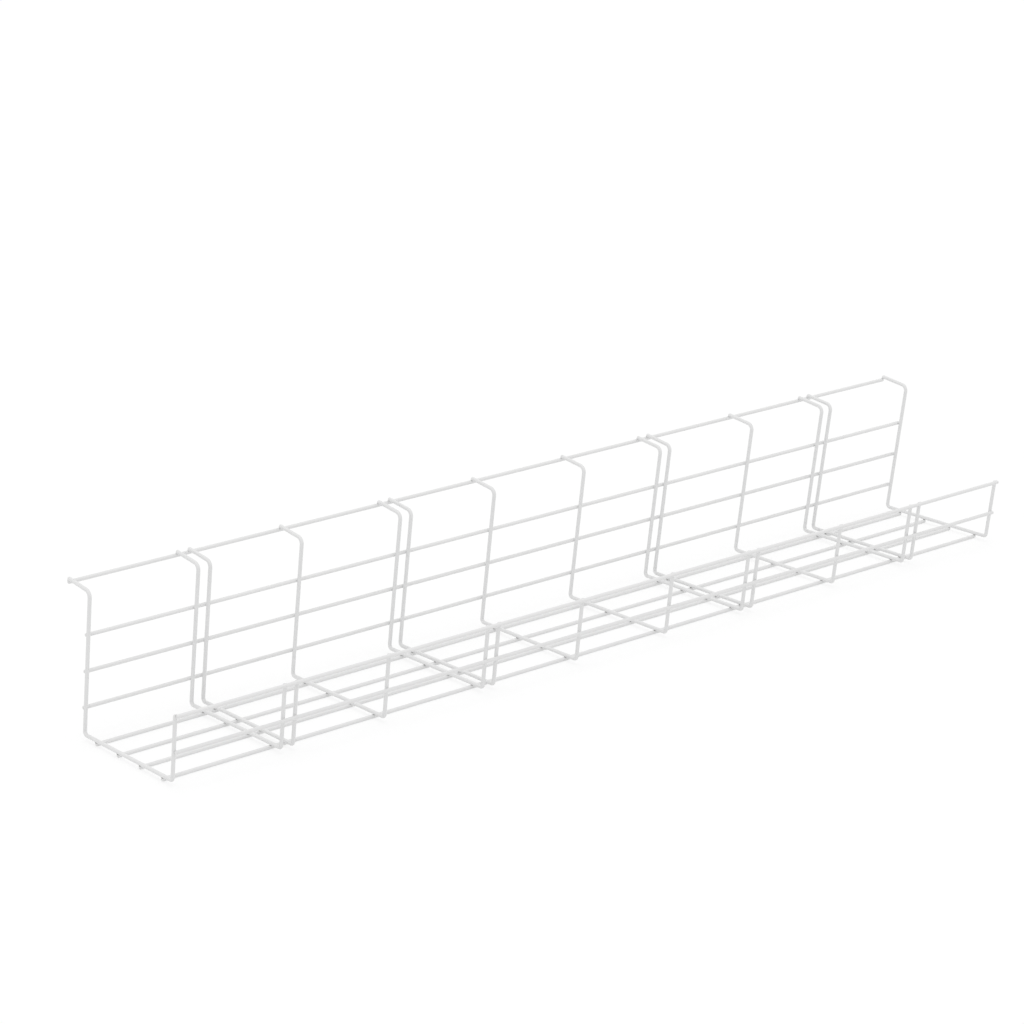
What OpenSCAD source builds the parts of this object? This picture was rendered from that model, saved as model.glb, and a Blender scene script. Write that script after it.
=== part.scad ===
// Wire mesh cable basket: a long open trough of welded steel wire that hangs
// under a table top and carries its cables.
// Bent cross wires, some of them in close pairs, make the section: a front wall,
// a floor, a back wall and a lip at the top of the back wall.
// Straight long wires are welded along the outside of the cross wires.
// The basket stands on its floor wires. Its walls lean forward, because it is
// made to hang with its walls upright and its floor falling towards the back.
// Sizes of the bent section are measured along the middle of the wire, between
// the points where its straight legs would meet.

/* [Wire] */
// Diameter of every wire, over its coating
wire_d = 4.3; // [3:0.1:6]

/* [Length] */
// Length over the end cross wires
basket_l = 1200; // [700:10:2400]
// How far the long wires' ends stay inside the outer faces of the end cross wires
end_inset = 0.8; // [0:0.1:2]

/* [Cross wires] */
// Equal bays along the basket
bays = 9; // [4:1:16]
// Cross wires with a close partner, counted inwards from each end, the end wire being 0
doubled = [1, 3]; // [1:1:6]
// Distance between the middles of the two wires of a pair
pair_pitch = 15; // [10:0.5:30]

/* [Floor] */
// Width of the floor
floor_w = 170.5; // [120:0.5:300]
// Long wires under the floor
floor_wires = 4; // [2:1:6]
// From the back edge of the floor to its nearest long wire
floor_wire_back = 23; // [12:0.5:30]
// From the front edge of the floor to its nearest long wire
floor_wire_front = 19; // [12:0.5:30]

/* [Back wall] */
// Height of the back wall, measured up its slope
back_h = 168.5; // [130:0.5:300]
// How far the back wall leans forward, in degrees from upright
back_lean = 10.4; // [0:0.1:20]
// Long wires behind the back wall
back_wires = 3; // [2:1:5]
// From the foot of the back wall to its lowest long wire
back_wire_low = 30.3; // [12:0.1:45]
// From the top of the back wall down to its highest long wire
back_wire_high = 52; // [15:0.5:70]

/* [Front wall] */
// Height of the front wall, measured up its slope to the wire ends
front_h = 76.3; // [60:0.1:120]
// How far the front wall leans outward, in degrees from upright
front_lean = 9.7; // [0:0.1:20]
// From the foot of the front wall to its lower long wire
front_wire_low = 34.5; // [12:0.5:45]

/* [Lip] */
// Depth of the lip, from the back wall to the wire ends
lip_w = 42.4; // [25:0.1:80]
// How far the lip rises towards its edge, in degrees from level
lip_rise = 6.8; // [0:0.1:15]

/* [Bends and ends] */
// Radius of the bend at the lip, to the middle of the wire
lip_bend_r = 6.6; // [4:0.1:12]
// Radius of the bends at the back and the front of the floor, to the middle of the wire
floor_bend_r = 4; // [3.2:0.1:10]
// How far the cross wires run on past the middle of the long wire at the edge
edge_over = 0.4; // [0:0.1:2]

/* [Hidden] */
$fn = 16;

span = basket_l - wire_d;
bay = span / bays;
long_l = basket_l - 2 * end_inset;

// The section, seen along the basket: y runs to the back and z up, from the point
// where the middle lines of the floor and the back wall meet.
back_up = [-sin(back_lean), cos(back_lean)];
front_up = [-sin(front_lean), cos(front_lean)];
lip_out = [cos(lip_rise), sin(lip_rise)];
back_foot = [0, 0];
back_top = back_foot + back_h * back_up;
lip_edge = back_top + lip_w * lip_out;
front_foot = [-floor_w, 0];
front_edge = front_foot + front_h * front_up;

// A long wire touches the cross wires from outside, one diameter from middle to middle.
function beside(foot, along, out, at) = foot + at * along + wire_d * out;

// Even places from one distance to another, ends included.
function spread(first, last, count) =
    [for (i = [0:count - 1]) first + (last - first) * i / (count - 1)];

lip_wire_at = beside(back_top, lip_out, [lip_out.y, -lip_out.x], lip_w - edge_over);
back_wires_at =
    [for (at = spread(back_wire_low, back_h - back_wire_high, back_wires))
        beside(back_foot, back_up, [back_up.y, -back_up.x], at)];
floor_wires_at =
    [for (at = spread(floor_wire_back, floor_w - floor_wire_front, floor_wires))
        beside(back_foot, [-1, 0], [0, -1], at)];
front_wires_at =
    [for (at = [front_wire_low, front_h - edge_over])
        beside(front_foot, front_up, [-front_up.y, front_up.x], at)];

// The origin lies on the ground, under the middle of the whole basket.
wire_r = wire_d / 2;
rearmost = max(lip_wire_at.x, back_wires_at[0].x) + wire_r;
foremost = front_wires_at[1].x - wire_r;
section_shift = [-(rearmost + foremost) / 2, wire_d + wire_r];

// The section's bends, from the front edge to the lip, as turns to the left.
legs = [front_h, floor_w, back_h, lip_w];
turns = [90 - front_lean, 90 + back_lean, lip_rise - 90 - back_lean];
radii = [floor_bend_r, floor_bend_r, lip_bend_r];

// The wire is a hair thicker round a bend, and its legs run a little way into the bends.
bend_swell = 0.01;
leg_lap = 0.1;

// Places of the cross wires, from one end to the other.
near_end = [for (i = [0:bays]) if (i < bays / 2) i];
half_places = [for (i = near_end)
    each [for (j = [0:len(search(i, doubled)) > 0 ? 1 : 0]) i * bay + j * pair_pitch - span / 2]];
middle_place = bays % 2 == 0 ? [0] : [];
half_count = len(half_places);
cross_places = concat(half_places, middle_place,
    [for (i = [1:half_count]) -half_places[half_count - i]]);

function numbered(name, count) = [for (i = [1:count]) str(name, "_", i)];
cross_names = numbered("cross_wire", len(cross_places));
back_names = numbered("back_wire", back_wires);
floor_names = numbered("floor_wire", floor_wires);
front_names = numbered("front_wire", len(front_wires_at));

// Length that a bend takes from each leg beside it
function tangent_l(r, turn) = r * tan(abs(turn) / 2);

// A straight wire from one x to another along the X axis
module straight_wire(from, to) {
    translate([from, 0, 0])
        rotate([0, 90, 0]) cylinder(h = to - from, d = wire_d);
}

// A bend that starts at the origin along +X and turns to the left about its centre
module left_bend(r, turn) {
    translate([0, r, 0])
        rotate([0, 0, -90])
            rotate_extrude(angle = turn)
                translate([r, 0]) circle(d = wire_d + 2 * bend_swell);
}

// A wire bent in one plane: leg i along +X, its bend, then the legs after it
module bent_wire(i = 0) {
    first = i == 0;
    last = i == len(turns);
    straight_l = legs[i]
        - (first ? 0 : tangent_l(radii[i - 1], turns[i - 1]))
        - (last ? 0 : tangent_l(radii[i], turns[i]));
    straight_wire(first ? 0 : -leg_lap, straight_l + (last ? 0 : leg_lap));
    if (!last) {
        turn = abs(turns[i]);
        // A turn to the right is a turn to the left with the wire rolled over.
        roll = turns[i] < 0 ? 180 : 0;
        bend_end = radii[i] * [sin(turn), 1 - cos(turn)];
        translate([straight_l, 0, 0])
            rotate([roll, 0, 0]) {
                left_bend(radii[i], turn);
                translate(bend_end)
                    rotate([0, 0, turn])
                        rotate([-roll, 0, 0])
                            bent_wire(i + 1);
            }
    }
}

// One cross wire, bent to the section, at its place along the basket
module cross_wire(x) {
    color("whitesmoke")
        translate([x, section_shift.x + front_edge.x, section_shift.y + front_edge.y])
            rotate([90, 0, 90])
                rotate([0, 0, -turns[0]])
                    bent_wire();
}

// One long wire, at its place in the section
module long_wire(at) {
    color("whitesmoke")
        translate([0, section_shift.x + at.x, section_shift.y + at.y])
            straight_wire(-long_l / 2, long_l / 2);
}

for (i = [0:len(cross_places) - 1])
    cross_wire(cross_places[i]);
for (i = [0:floor_wires - 1])
    long_wire(floor_wires_at[i]);
for (i = [0:back_wires - 1])
    long_wire(back_wires_at[i]);
for (i = [0:len(front_wires_at) - 1])
    long_wire(front_wires_at[i]);
long_wire(lip_wire_at);  // lip_wire
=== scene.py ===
# %% [markdown]
# # A welded wire cable basket
# The basket hangs under a table top and carries its cables. It is made of coated
# steel wires and nothing else: fourteen cross wires, each bent in one plane to the
# shape of the trough, and ten straight long wires welded along their outside.
# The construction model already holds every wire at its real size and place. This
# lesson gives the wires what coated steel has: rounded cut ends, smooth bends, a
# bead at every weld and a white powder coat. It starts by loading that model.

# %% Load the construction model
import bpy
import numpy as np
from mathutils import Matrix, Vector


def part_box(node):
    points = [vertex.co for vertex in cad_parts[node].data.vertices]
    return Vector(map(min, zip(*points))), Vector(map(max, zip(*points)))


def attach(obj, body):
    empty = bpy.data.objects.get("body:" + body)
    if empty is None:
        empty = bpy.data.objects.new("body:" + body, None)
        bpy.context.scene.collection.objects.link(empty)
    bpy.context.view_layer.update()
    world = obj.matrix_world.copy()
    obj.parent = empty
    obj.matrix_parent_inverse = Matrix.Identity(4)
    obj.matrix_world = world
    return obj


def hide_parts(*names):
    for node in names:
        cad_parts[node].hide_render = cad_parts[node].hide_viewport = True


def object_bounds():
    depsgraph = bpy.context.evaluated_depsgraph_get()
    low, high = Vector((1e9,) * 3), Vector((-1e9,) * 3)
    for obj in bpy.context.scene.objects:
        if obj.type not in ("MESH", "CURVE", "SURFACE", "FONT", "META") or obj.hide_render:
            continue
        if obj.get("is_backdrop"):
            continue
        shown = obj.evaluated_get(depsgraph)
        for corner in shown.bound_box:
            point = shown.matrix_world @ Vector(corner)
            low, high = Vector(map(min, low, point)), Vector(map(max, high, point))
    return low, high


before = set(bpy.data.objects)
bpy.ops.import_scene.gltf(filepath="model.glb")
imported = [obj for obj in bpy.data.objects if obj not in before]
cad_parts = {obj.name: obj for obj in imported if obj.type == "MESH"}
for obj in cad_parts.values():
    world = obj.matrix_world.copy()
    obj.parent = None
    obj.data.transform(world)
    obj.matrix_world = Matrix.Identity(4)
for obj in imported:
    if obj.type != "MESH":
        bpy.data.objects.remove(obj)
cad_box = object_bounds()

MM = 0.001
print("solid model from", np.round(cad_box[0], 4), "to", np.round(cad_box[1], 4))

# %% [markdown]
# ## Where each wire is
# A wire's box tells all about a straight wire: its ends, its middle line and its
# diameter. The middles of the long wires also tell how the walls stand, because
# each long wire touches its wall from outside, one diameter from middle to middle.
# So the section is worked out from the wires themselves and always fits them.

# %% Read the wires' places
names = sorted(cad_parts, key=lambda name: (name.rsplit("_", 1)[0], len(name), name))
cross_names = [name for name in names if name.startswith("cross_wire")]
long_names = [name for name in names if not name.startswith("cross_wire")]


def box_of(name):
    """Lowest and highest corner of a wire, as two rows of an array."""
    return np.array(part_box(name), dtype=float)


def middle_of(name):
    """The point half way between a wire's two corners, seen along the basket: (y, z)."""
    return box_of(name).mean(axis=0)[1:]


WIRE_D = np.ptp(box_of("lip_wire")[:, 2])
WIRE_R = WIRE_D / 2
print(len(cross_names), "cross wires and", len(long_names), "long wires,", round(WIRE_D / MM, 2), "mm thick")

# %% [markdown]
# ## The section of a cross wire
# A cross wire runs down the front wall, along the floor, up the back wall and out
# along the lip. Its middle line could be traced by hand, but it is surer to take
# the four lines it follows, cross each with the next, and round the corners. The
# floor, the front and the back line come from the long wires. Only the lip has a
# single wire, so its slope is a named value.

# %% Lines of the section and their corners
LIP_RISE = np.radians(6.8)
FLOOR_BEND_R = 4.0 * MM
LIP_BEND_R = 6.6 * MM


def unit(v):
    """The vector at length one."""
    return v / np.linalg.norm(v)


def wall_line(low_name, high_name, inward):
    """Point and direction of the line one wire diameter inside two long wires.

    The direction runs from the lower to the higher wire. The point is the lower
    wire's middle, moved by the diameter along the normal that points inward.
    """
    low, high = middle_of(low_name), middle_of(high_name)
    along = unit(high - low)
    normal = inward * np.array([-along[1], along[0]])
    return low + WIRE_D * normal, along


def crossing(line_a, line_b):
    """The point where two lines meet, each given as a point and a direction.

    A point of one line is p + s * u and of the other q + t * v, and where they
    meet the two are equal, which gives s.
    """
    (p, u), (q, v) = line_a, line_b
    s = np.linalg.solve(np.column_stack([u, -v]), q - p)[0]
    return p + s * u


floor_line = wall_line("floor_wire_4", "floor_wire_1", 1.0)
back_line = wall_line("back_wire_1", "back_wire_3", 1.0)
front_line = wall_line("front_wire_1", "front_wire_2", -1.0)

low_corner, high_corner = box_of(cross_names[0])
lip_along = np.array([np.cos(LIP_RISE), np.sin(LIP_RISE)])
# The round wire's square-cut end reaches beyond the end of its middle line, by its
# radius times the slope's sine across the basket and the cosine upward.
lip_tip = high_corner[1:] - WIRE_R * np.array([lip_along[1], lip_along[0]])
lip_line = (lip_tip, lip_along)

front_point, front_along = front_line
front_tip_y = low_corner[1] + WIRE_R * front_along[1]
front_tip = front_point + (front_tip_y - front_point[0]) / front_along[0] * front_along

corners = np.array([
    front_tip,
    crossing(front_line, floor_line),
    crossing(floor_line, back_line),
    crossing(back_line, lip_line),
    lip_tip,
])
bend_radii = np.array([FLOOR_BEND_R, FLOOR_BEND_R, LIP_BEND_R])
leg_lengths = np.linalg.norm(np.diff(corners, axis=0), axis=1)
print("legs of the section in mm:", np.round(leg_lengths / MM, 1))

# %% [markdown]
# ## Rounding the corners
# Wire is bent round a former, so each corner is an arc that meets both legs
# without a kink. A Bevel modifier could round a sharp-cornered tube, but it gives
# the inside and the outside of the bend the same radius, so the wire would be
# thicker there. So the middle line is rounded first, with an arc worked out from
# its two tangent directions. For a smooth highlight the arc gets a ring every few
# degrees, and the straight legs need none in between.

# %% Middle line with its arcs
ARC_STEP = np.radians(6.0)


def rounded_corner(before, corner, after, radius):
    """Points of the arc that rounds one corner, and the wire's direction at each.

    The arc starts radius * tan(half the turn) before the corner. A point on it is
    start + radius * sin(a) * u + radius * (1 - cos(a)) * n, where u is the first
    leg's direction, n the normal on the side of the turn, and a runs to the turn.
    """
    u, v = unit(corner - before), unit(after - corner)
    turn = np.arccos(np.clip(u @ v, -1, 1))
    normal = unit(v - (u @ v) * u)
    start = corner - radius * np.tan(turn / 2) * u
    a = np.linspace(0, turn, int(np.ceil(turn / ARC_STEP)) + 1)[:, None]
    points = start + radius * np.sin(a) * u + radius * (1 - np.cos(a)) * normal
    directions = np.cos(a) * u + np.sin(a) * normal
    return points, directions


def section_line(corners, radii):
    """The whole middle line as points and directions, from the front edge to the lip."""
    first, last = unit(corners[1] - corners[0]), unit(corners[-1] - corners[-2])
    arcs = [rounded_corner(*corners[i:i + 3], radius) for i, radius in enumerate(radii)]
    points = np.vstack([corners[:1], *[arc[0] for arc in arcs], corners[-1:]])
    directions = np.vstack([first, *[arc[1] for arc in arcs], last])
    return points, directions


section_points, section_directions = section_line(corners, bend_radii)
print("middle line of the section:", len(section_points), "points")

# %% [markdown]
# ## A wire as a surface
# A round wire is a circle carried along its middle line. A curve with a bevel
# depth makes such a tube too, but leaves its ends open or flat. The line's
# direction and one fixed side direction give the circle its plane at every point,
# which works because each wire is straight or bent in one plane only. The wire was
# cropped to length, ground and then coated, and the coat gathers on the cut, so
# the ends are round and blunt. The end rings follow a quarter circle down to a
# small flat tip, and the last faces close the tip as a shallow dome.

# %% Rings along a wire
SIDES = 28
END_ROUND = 1.5 * MM
END_DOME = 0.25 * MM
END_STEPS = 8


def wire_rings(points, directions, side):
    """Rings of a wire and its two end points.

    A ring's point is centre + radius * (cos(p) * across + sin(p) * side), where
    across = side x direction and p goes once round. Towards an end the radius
    shrinks along a quarter circle of END_ROUND, and the end point lies END_DOME
    beyond the last ring, exactly at the end of the middle line.
    """
    a = np.linspace(np.pi / 2, 0, END_STEPS)
    inset = END_DOME + END_ROUND * (1 - np.sin(a))
    shrink = END_ROUND * (1 - np.cos(a))
    start = points[0] + inset[:, None] * directions[0]
    finish = (points[-1] - inset[:, None] * directions[-1])[::-1]
    centres = np.vstack([start, points[1:-1], finish])
    along = np.vstack([np.repeat(directions[:1], END_STEPS, axis=0), directions[1:-1],
                       np.repeat(directions[-1:], END_STEPS, axis=0)])
    radius = WIRE_R - np.concatenate([shrink, np.zeros(len(points) - 2), shrink[::-1]])
    across = np.cross(side, along)
    p = np.linspace(0, 2 * np.pi, SIDES, endpoint=False)
    spokes = np.cos(p)[None, :, None] * across[:, None, :] + np.sin(p)[None, :, None] * side
    return centres[:, None, :] + radius[:, None, None] * spokes, (points[0], points[-1])


print("a wire's end is rounded by", END_STEPS, "rings over", round((END_DOME + END_ROUND) / MM, 2), "mm")

# %% [markdown]
# ## From rings to a mesh
# Four neighbouring points on two rings make a face, and a fan of triangles closes
# each end. Faces can be added one by one, but whole arrays are faster and say in
# one line how the points are joined. The faces have to point outward, or the humps
# and dents of a bump change places. The volume tells, because it comes out
# negative when they point inward.

# %% Faces between rings
def tube_faces(rings, around):
    """Corner numbers of the quads between rings and of the two fans that close them.

    Quad (i, j) joins point j and j + 1 of ring i with those of ring i + 1. The two
    poles follow the ring points, and each fan goes from a pole to its ring.
    """
    i, j = np.meshgrid(np.arange(rings - 1), np.arange(around), indexing="ij")
    k = (j + 1) % around
    quads = np.stack([i * around + j, i * around + k, (i + 1) * around + k, (i + 1) * around + j], axis=-1)
    j = np.arange(around)
    k = (j + 1) % around
    pole = rings * around
    first = np.stack([np.full(around, pole), k, j], axis=-1)
    last = np.stack([np.full(around, pole + 1), (rings - 1) * around + j, (rings - 1) * around + k], axis=-1)
    return quads.reshape(-1, 4), np.vstack([first, last])


wire_faces = tube_faces(len(section_points) + 2 * (END_STEPS - 1), SIDES)
print("a cross wire has", sum(map(len, wire_faces)), "faces")


# %% A piece from whole arrays
def make_piece(name, vertices, quads, triangles):
    """A smooth-shaded object from whole arrays of points, quads and triangles."""
    corners_of_faces = np.concatenate([quads.ravel(), triangles.ravel()]).astype(np.int32)
    sizes = np.concatenate([np.full(len(quads), 4), np.full(len(triangles), 3)]).astype(np.int32)
    starts = np.concatenate([[0], np.cumsum(sizes)[:-1]]).astype(np.int32)
    mesh = bpy.data.meshes.new(name)
    mesh.vertices.add(len(vertices))
    mesh.vertices.foreach_set("co", np.ascontiguousarray(vertices, dtype=np.float32).ravel())
    mesh.loops.add(len(corners_of_faces))
    mesh.loops.foreach_set("vertex_index", corners_of_faces)
    mesh.polygons.add(len(sizes))
    mesh.polygons.foreach_set("loop_start", starts)
    mesh.update(calc_edges=True)
    mesh.validate()
    mesh.shade_smooth()
    piece = bpy.data.objects.new(name, mesh)
    bpy.context.scene.collection.objects.link(piece)
    return piece


# %% Volume inside a mesh
def enclosed_volume(vertices, quads, triangles):
    """Volume inside a closed mesh, positive when its faces point outward.

    It is the sum of a . (b x c) / 6 over the triangles, with each quad cut in two.
    """
    cut = np.vstack([quads[:, [0, 1, 2]], quads[:, [0, 2, 3]], triangles])
    a, b, c = (vertices[cut[:, n]] for n in range(3))
    return np.einsum("ij,ij->i", a, np.cross(b, c)).sum() / 6


# %% [markdown]
# ## Helpers for materials
# A material is a tree of nodes. Its colours are written as sRGB hex values, as
# paint programs show them, but light adds up in linear values, so one function
# turns one into the other. Another adds a node of any kind with its settings,
# values and links, so that a material reads from its pattern to its surface.

# %% Colour and node helpers
def linear(hex_colour):
    """An sRGB hex colour as linear red, green, blue and alpha.

    A channel c from 0 to 1 becomes ((c + 0.055) / 1.055)^2.4, or c / 12.92 where
    it is almost black.
    """
    channels = [int(hex_colour[i:i + 2], 16) / 255 for i in (1, 3, 5)]
    return [c / 12.92 if c <= 0.04045 else ((c + 0.055) / 1.055) ** 2.4 for c in channels] + [1.0]


def add_node(tree, kind, values=(), links=(), **settings):
    """Adds one node: its settings, its socket values and its incoming links."""
    node = tree.nodes.new(kind)
    for key, value in settings.items():
        setattr(node, key, value)
    for socket, value in dict(values).items():
        node.inputs[socket].default_value = value
    for socket, source in dict(links).items():
        tree.links.new(source, node.inputs[socket])
    return node


def empty_material(name):
    """A material with no nodes, ready to be filled."""
    material = bpy.data.materials.new(name)
    material.use_nodes = True
    material.node_tree.nodes.clear()
    return material


# %% [markdown]
# ## White powder coat
# The finish is polyester powder, sprayed dry and baked. It melts to a skin about
# 0.15 mm thick with a faint orange peel, and it is a little thicker and whiter in
# some places than in others. It is a plastic, so it isn't metallic, its IOR is
# about 1.5, and a satin grade has a roughness of about 0.4. The eye gets soft white
# wires with no sharp highlight. One plain white would do from far away, but up
# close it looks drawn. So the peel is a bump made from noise, and slow noise varies
# the tone and the roughness.

# %% Powder coat material
COAT_TONES = ("#EBEBEB", "#E6E6E6")
COAT_ROUGHNESS = (0.36, 0.46)
COAT_IOR = 1.5
PEEL_WIDTH = 1.6 * MM
PEEL_DEPTH = 0.012 * MM
CLOUD_WIDTH = 35 * MM


def powder_coat():
    """White satin polyester powder coat on steel wire."""
    material = empty_material("white_satin_powder_coat")
    tree = material.node_tree
    place = add_node(tree, "ShaderNodeTexCoord").outputs["Object"]
    cloud = add_node(tree, "ShaderNodeTexNoise",
                     {"Scale": 1 / CLOUD_WIDTH, "Detail": 3.0, "Roughness": 0.5}, {"Vector": place})
    tone = add_node(tree, "ShaderNodeMix", dict(zip("AB", map(linear, COAT_TONES))),
                    {"Factor": cloud.outputs["Fac"]}, data_type="RGBA")
    gloss = add_node(tree, "ShaderNodeMapRange", dict(zip(("To Min", "To Max"), COAT_ROUGHNESS)),
                     {"Value": cloud.outputs["Fac"]})
    peel = add_node(tree, "ShaderNodeTexNoise",
                    {"Scale": 1 / PEEL_WIDTH, "Detail": 2.0, "Roughness": 0.4}, {"Vector": place})
    bump = add_node(tree, "ShaderNodeBump", {"Strength": 1.0, "Distance": PEEL_DEPTH},
                    {"Height": peel.outputs["Fac"]})
    shader = add_node(tree, "ShaderNodeBsdfPrincipled", {"IOR": COAT_IOR, "Metallic": 0.0},
                      {"Base Color": tone.outputs["Result"], "Roughness": gloss.outputs["Result"],
                       "Normal": bump.outputs["Normal"]})
    add_node(tree, "ShaderNodeOutputMaterial", links={"Surface": shader.outputs["BSDF"]})
    return material


coat = powder_coat()
print(coat.name, "has", len(coat.node_tree.nodes), "nodes")

# %% [markdown]
# ## Dressing a piece
# A welded basket has one body, so every piece rides on its root. A wire takes the
# place of its solid, and a weld bead, which has none, is simply added.


def dress(piece, finish, *nodes):
    """Gives a piece its finish, puts it on the basket's one body and lets it stand for its solids."""
    piece.data.materials.append(finish)
    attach(piece, "root")
    if nodes:
        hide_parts(*nodes)
    return piece


# %% [markdown]
# ## The cross wires
# All fourteen have the same section, so its points are worked out once and each
# wire only moves them along the basket. Linked copies of one mesh could stand at
# fourteen places, but each wire replaces a solid of its own, so each is a mesh of
# its own and its place is in the mesh. The side direction of the rings is the
# basket's own length direction.

# %% Make the cross wires
X_AXIS = np.array([1.0, 0.0, 0.0])


def in_plane(yz, x):
    """Points of the section, placed at x along the basket."""
    return np.column_stack([np.full(len(yz), x), yz])


def make_wire(name, points, directions, side):
    """One wire as its own piece, in place of its solid."""
    rings, poles = wire_rings(points, directions, side)
    vertices = np.vstack([rings.reshape(-1, 3), poles])
    quads, triangles = tube_faces(len(rings), SIDES)
    volume = enclosed_volume(vertices, quads, triangles)
    if volume < 0:
        raise ValueError(name + " is inside out")
    return dress(make_piece(name + "_coated", vertices, quads, triangles), coat, name), volume


cross_x = {name: box_of(name)[:, 0].mean() for name in cross_names}
cross_volumes = [
    make_wire(name, in_plane(section_points, x), in_plane(section_directions, 0.0), X_AXIS)[1]
    for name, x in cross_x.items()
]
print("one cross wire holds", round(cross_volumes[0] / MM ** 3), "cubic mm")

# %% [markdown]
# ## The long wires
# A long wire is straight, so its middle line is two points, and its box gives
# both. Straight stock is never perfectly straight, but over this length the
# welds hold it true, so it isn't bowed here.

# %% Make the long wires
Z_AXIS = np.array([0.0, 0.0, 1.0])
long_at = {name: middle_of(name) for name in long_names}


def make_long_wire(name):
    """A straight wire between the ends of its box."""
    low, high = box_of(name)[:, 0]
    y, z = long_at[name]
    points = np.array([[low, y, z], [high, y, z]])
    return make_wire(name, points, np.array([X_AXIS, X_AXIS]), Z_AXIS)


long_volumes = [make_long_wire(name)[1] for name in long_names]
print("one long wire holds", round(long_volumes[0] / MM ** 3), "cubic mm")

# %% [markdown]
# ## Painted shade at the floor crossings
# Where two wires cross close above the ground, the corner between them lies in
# shade. The beads of the floor get a finish of their own that paints this shade:
# patches of dark grey under a lighter grey. The walls and the lip keep the white
# coat on their beads. The shade could be painted as dark spots on the wires, but
# it lies in the corners, where the beads are. The finish isn't metallic, and it is
# rougher than the coat. The patches are noise, about half as wide as a bead, so
# that one bead is darker on one side than on the other.

# %% Painted shade on the floor beads
# Both tones are painted shade for the corners of the floor crossings. The dark
# tone shows where the noise is at the first patch level or less, the light tone
# where it is at the second or more.
CROSSING_SHADE_TONES = ("#65635F", "#B0AFAD")
CROSSING_SHADE_ROUGHNESS = 0.65
PATCH_WIDTH = 1.2 * MM
PATCH_LEVELS = (0.4, 0.7)


def painted_crossing_shade():
    """Painted shade for the floor beads: patches of dark grey under a lighter grey."""
    material = empty_material("painted_shade_floor_crossings")
    tree = material.node_tree
    place = add_node(tree, "ShaderNodeTexCoord").outputs["Object"]
    patches = add_node(tree, "ShaderNodeTexNoise",
                       {"Scale": 1 / PATCH_WIDTH, "Detail": 3.0, "Roughness": 0.6}, {"Vector": place})
    patch_lightness = add_node(tree, "ShaderNodeMapRange", dict(zip(("From Min", "From Max"), PATCH_LEVELS)),
                     {"Value": patches.outputs["Fac"]})
    tone = add_node(tree, "ShaderNodeMix", dict(zip("AB", map(linear, CROSSING_SHADE_TONES))),
                    {"Factor": patch_lightness.outputs["Result"]}, data_type="RGBA")
    bump = add_node(tree, "ShaderNodeBump", {"Strength": 1.0, "Distance": PEEL_DEPTH},
                    {"Height": patches.outputs["Fac"]})
    shader = add_node(tree, "ShaderNodeBsdfPrincipled",
                      {"IOR": COAT_IOR, "Metallic": 0.0, "Roughness": CROSSING_SHADE_ROUGHNESS},
                      {"Base Color": tone.outputs["Result"], "Normal": bump.outputs["Normal"]})
    add_node(tree, "ShaderNodeOutputMaterial", links={"Surface": shader.outputs["BSDF"]})
    return material


crossing_shade_finish = painted_crossing_shade()
print(crossing_shade_finish.name, "has", len(crossing_shade_finish.node_tree.nodes), "nodes")

# %% [markdown]
# ## The weld beads
# Each crossing was welded by pressing the two wires together under current. A
# little steel flows out round the spot, so the wires are joined by a short waisted
# bead and don't just touch. A Boolean could join the wires, but it would make one
# mesh of them with a sharp seam. The bead fills the gap between two crossed
# cylinders: its lower rim lies on the long wire, its upper rim on the cross wire,
# and it is narrowest half way. On the walls and the lip the coat fills it out, and
# under the floor it stays a little slimmer.

# %% One bead's surface
# Each bead's size is its radius at the rims and its radius at the waist.
FULL_BEAD = (1.6 * MM, 1.3 * MM)
SLIM_BEAD = (1.5 * MM, 1.2 * MM)
BEAD_SINK = 0.05 * MM
BEAD_AROUND = 20
BEAD_RINGS = 7


def bead_rings(rim, waist):
    """One bead in its own frame: u along the cross wire, v along the long wire, w up.

    Round the bead p, and up it t from 0 to 1, the distance from the axis is
    waist + (rim - waist) * (2t - 1)^2. The height goes evenly from the long
    wire's surface, -(r - sqrt(r^2 - u^2)), to the cross wire's, r - sqrt(r^2 - v^2),
    each sunk a little into its wire.
    """
    p = np.linspace(0, 2 * np.pi, BEAD_AROUND, endpoint=False)[None, :]
    t = np.linspace(0, 1, BEAD_RINGS)[:, None]
    distance = waist + (rim - waist) * (2 * t - 1) ** 2
    u, v = distance * np.cos(p), distance * np.sin(p)
    low = -(WIRE_R - np.sqrt(WIRE_R ** 2 - u ** 2)) - BEAD_SINK
    high = WIRE_R - np.sqrt(WIRE_R ** 2 - v ** 2) + BEAD_SINK
    w = low + (high - low) * t
    return np.stack([u, v, w], axis=-1)


# The two points that close a bead lie inside the wires.
BEAD_POLES = np.array([[0, 0, -WIRE_R / 4], [0, 0, WIRE_R / 4]])
print("a full bead is", round(np.ptp(bead_rings(*FULL_BEAD)[..., 2]) / MM, 2), "mm high")

# %% [markdown]
# ## Beads along a wall
# A wall has a bead wherever one of its long wires passes a cross wire. Geometry
# nodes could scatter them, but the crossings are known exactly. So all beads of a
# wall are one array: the points of one bead, turned to the wall and moved to every
# crossing.

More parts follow.
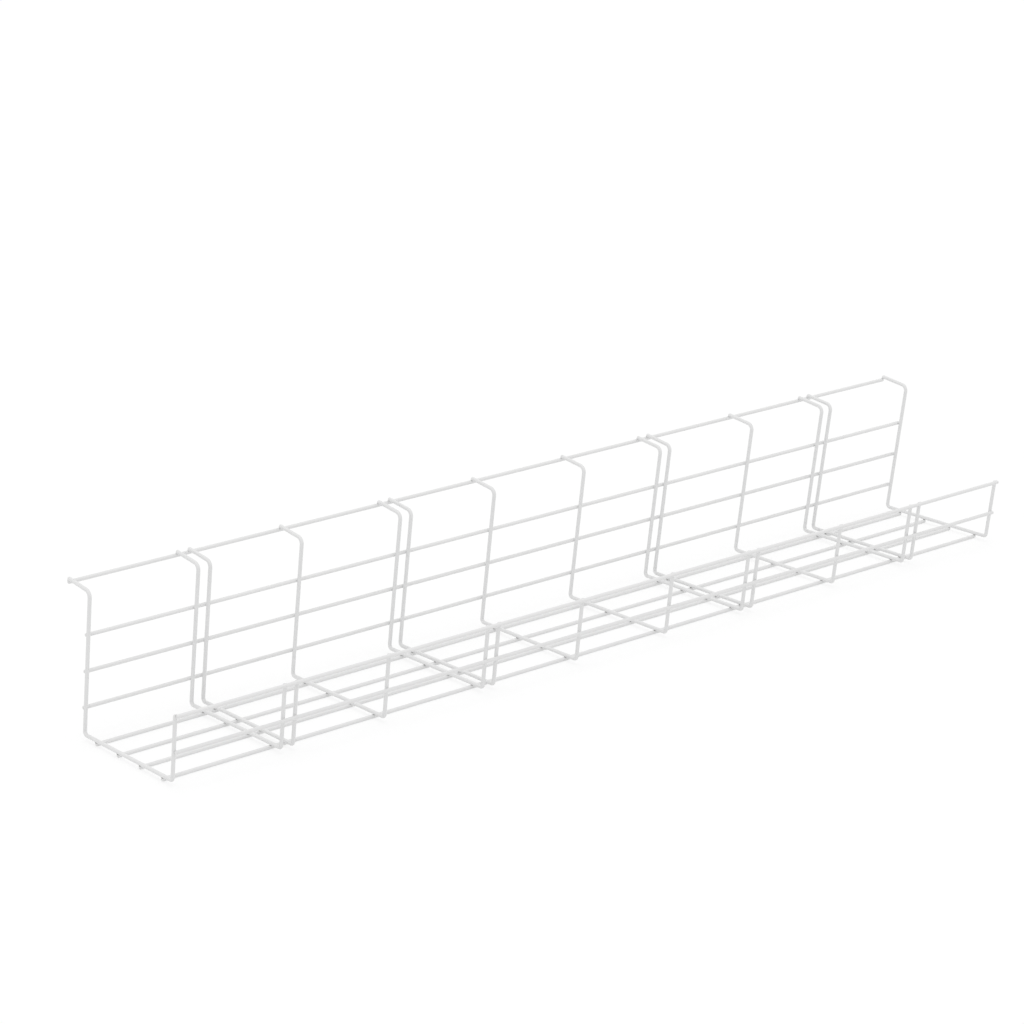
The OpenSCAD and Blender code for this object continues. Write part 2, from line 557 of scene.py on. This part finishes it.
# %% The beads of one wall
def make_beads(wall, wire_names, along, outward, shape, finish):
    """The beads of one wall as a single piece.

    along is the cross wire's direction there and outward points from the cross
    wire to the long wire, both seen along the basket. A bead's frame is
    u = along, v = the basket's length direction, w = -outward, and its middle
    lies one wire radius from the long wire's middle.
    """
    u = np.array([0.0, *along])
    w = -np.array([0.0, *outward])
    turned = np.stack([u, X_AXIS, w])
    local = np.vstack([bead_rings(*shape).reshape(-1, 3), BEAD_POLES]) @ turned
    x = np.array(list(cross_x.values()))
    places = np.array([[xi, *(long_at[name] - WIRE_R * outward)] for name in wire_names for xi in x])
    vertices = (places[:, None, :] + local[None, :, :]).reshape(-1, 3)
    quads, triangles = tube_faces(BEAD_RINGS, BEAD_AROUND)
    if enclosed_volume(local, quads, triangles) < 0:
        quads, triangles = quads[:, ::-1], triangles[:, ::-1]
    shift = (np.arange(len(places)) * len(local))[:, None, None]
    quads = (quads[None] + shift).reshape(-1, 4)
    triangles = (triangles[None] + shift).reshape(-1, 3)
    dress(make_piece("weld_beads_" + wall, vertices, quads, triangles), finish)
    return len(places)


# %% Make the beads of every wall
def right_of(direction):
    """The direction turned a quarter turn clockwise, seen along the basket."""
    return np.array([direction[1], -direction[0]])


def wires_of(wall):
    """The long wires of one wall."""
    return [name for name in long_names if name.startswith(wall + "_wire")]


back_along, floor_along = back_line[1], floor_line[1]
bead_counts = [
    # The floor's beads take the painted shade finish, and the others keep the white coat.
    make_beads("floor", wires_of("floor"), floor_along, right_of(floor_along), SLIM_BEAD, crossing_shade_finish),
    make_beads("back", wires_of("back"), back_along, right_of(back_along), FULL_BEAD, coat),
    make_beads("front", wires_of("front"), front_along, -right_of(front_along), FULL_BEAD, coat),
    make_beads("lip", wires_of("lip"), lip_along, right_of(lip_along), FULL_BEAD, coat),
]
print(sum(bead_counts), "weld beads")

# %% [markdown]
# ## Floor and light
# The basket stands on a white light table in soft studio light, with no horizon in
# view. A few softboxes could light it, but thin white wires on a white ground need
# light from all sides, and from below too, or their edges turn grey. So an even
# world gives most of the light and the table throws light back up. One wide, weak
# softbox overhead makes the tops of the wires a little lighter and lays a soft
# shadow under them. Where the table is seen, more of its white comes from its own
# glow, so it looks white without more light on the wires.

# %% Light table
FLOOR_HALF = 14.0
FLOOR_TONE = "#D2D2D2"
FLOOR_GLOW = 0.25
SEEN_TONE = "#9E9E9E"
SEEN_GLOW = 0.67
GROUND = cad_box[0][2]


def seen_directly(tree):
    """One for camera, glossy and transmission rays, and zero for all others."""
    ray = add_node(tree, "ShaderNodeLightPath").outputs
    mirrored = add_node(tree, "ShaderNodeMath",
                        links={0: ray["Is Camera Ray"], 1: ray["Is Glossy Ray"]}, operation="MAXIMUM")
    return add_node(tree, "ShaderNodeMath",
                    links={0: mirrored.outputs[0], 1: ray["Is Transmission Ray"]},
                    operation="MAXIMUM").outputs[0]


def floor_finish():
    """Matt white sheet lit from behind, with more glow where it is seen than where it lights."""
    material = empty_material("white_light_table")
    tree = material.node_tree
    seen = seen_directly(tree)
    tone = add_node(tree, "ShaderNodeMix", {"A": linear(FLOOR_TONE), "B": linear(SEEN_TONE)},
                    {"Factor": seen}, data_type="RGBA")
    level = add_node(tree, "ShaderNodeMix", {"A": FLOOR_GLOW, "B": SEEN_GLOW}, {"Factor": seen})
    sheet = add_node(tree, "ShaderNodeBsdfDiffuse", links={"Color": tone.outputs["Result"]})
    glow = add_node(tree, "ShaderNodeEmission", links={"Strength": level.outputs["Result"]})
    both = add_node(tree, "ShaderNodeAddShader", links={0: sheet.outputs[0], 1: glow.outputs[0]})
    add_node(tree, "ShaderNodeOutputMaterial", links={"Surface": both.outputs[0]})
    return material


def make_floor():
    """A square sheet under the basket, as one quad."""
    h = FLOOR_HALF
    mesh = bpy.data.meshes.new("studio_floor")
    corners = [(-h, -h, GROUND), (h, -h, GROUND), (h, h, GROUND), (-h, h, GROUND)]
    mesh.from_pydata(corners, [], [(0, 1, 2, 3)])
    mesh.materials.append(floor_finish())
    floor = bpy.data.objects.new("studio_floor", mesh)
    bpy.context.scene.collection.objects.link(floor)
    floor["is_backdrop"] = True


make_floor()
print("light table of", 2 * FLOOR_HALF, "m at height", round(GROUND, 4))

# %% World and overhead softbox
WORLD_LEVEL = 0.85
OVERHEAD = {"azimuth": 0, "elevation": 85, "spread": 45, "strength": 0.455}


def make_world(level):
    """Even white light from all round, and plain white where it is seen."""
    world = bpy.data.worlds.new("studio_world")
    world.use_nodes = True
    tree = world.node_tree
    tree.nodes.clear()
    around = add_node(tree, "ShaderNodeBackground", {"Color": (1, 1, 1, 1), "Strength": level})
    white = add_node(tree, "ShaderNodeBackground", {"Color": (1, 1, 1, 1), "Strength": 1.0})
    mix = add_node(tree, "ShaderNodeMixShader",
                   links={0: seen_directly(tree), 1: around.outputs[0], 2: white.outputs[0]})
    add_node(tree, "ShaderNodeOutputWorld", links={"Surface": mix.outputs[0]})
    bpy.context.scene.world = world


def make_soft_sun(name, azimuth, elevation, spread, strength):
    """A sun as wide as a softbox. Azimuth 0 shines from the front and 90 from the right.

    The lamp shines along its own -Z, so it is tipped by 90 degrees less the elevation
    and turned by the azimuth. All angles are in degrees.
    """
    lamp = bpy.data.lights.new(name, "SUN")
    lamp.angle = np.radians(spread)
    lamp.energy = strength
    sun = bpy.data.objects.new(name, lamp)
    sun.rotation_euler = np.radians([90 - elevation, 0, azimuth])
    bpy.context.scene.collection.objects.link(sun)


make_world(WORLD_LEVEL)
make_soft_sun("overhead_softbox", **OVERHEAD)
print("world level", WORLD_LEVEL, "and a softbox", OVERHEAD["spread"], "degrees wide")

# %% [markdown]
# ## Camera
# The camera stands to the left in front of the basket and looks down at it a
# little, with a long lens, so that the near end is hardly larger than the far end.

# %% Camera
SENSOR = 36.0
LENS = 105.74
CAMERA_PLACE = (-2.0750, -2.5134, 1.1578)
CAMERA_TURN = (72.763, 1.260, -38.725)

camera_data = bpy.data.cameras.new("studio_camera")
camera_data.sensor_width = SENSOR
camera_data.lens = LENS
camera = bpy.data.objects.new("studio_camera", camera_data)
camera.location = CAMERA_PLACE
camera.rotation_euler = np.radians(CAMERA_TURN)
bpy.context.scene.collection.objects.link(camera)
bpy.context.scene.camera = camera
bpy.context.scene.view_settings.view_transform = "Standard"
camera_distance = np.linalg.norm(np.array(CAMERA_PLACE) - np.mean(cad_box, axis=0))
print("camera", round(float(camera_distance), 2), "m from the basket's middle")

# %% [markdown]
# ## Size of the coated wires
# The coated wires have to fill the solid model's box and no more, apart from what
# their rounded ends take off, so both boxes are measured and their largest
# difference is printed.

# %% Sizes of the boxes
seen_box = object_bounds()
sizes = {"cad": [list(map(float, corner)) for corner in cad_box],
         "visual": [list(map(float, corner)) for corner in seen_box]}
change = np.abs(np.array(sizes["visual"]) - np.array(sizes["cad"])).max()
print("the box changes by at most", round(float(change) / MM, 3), "mm")
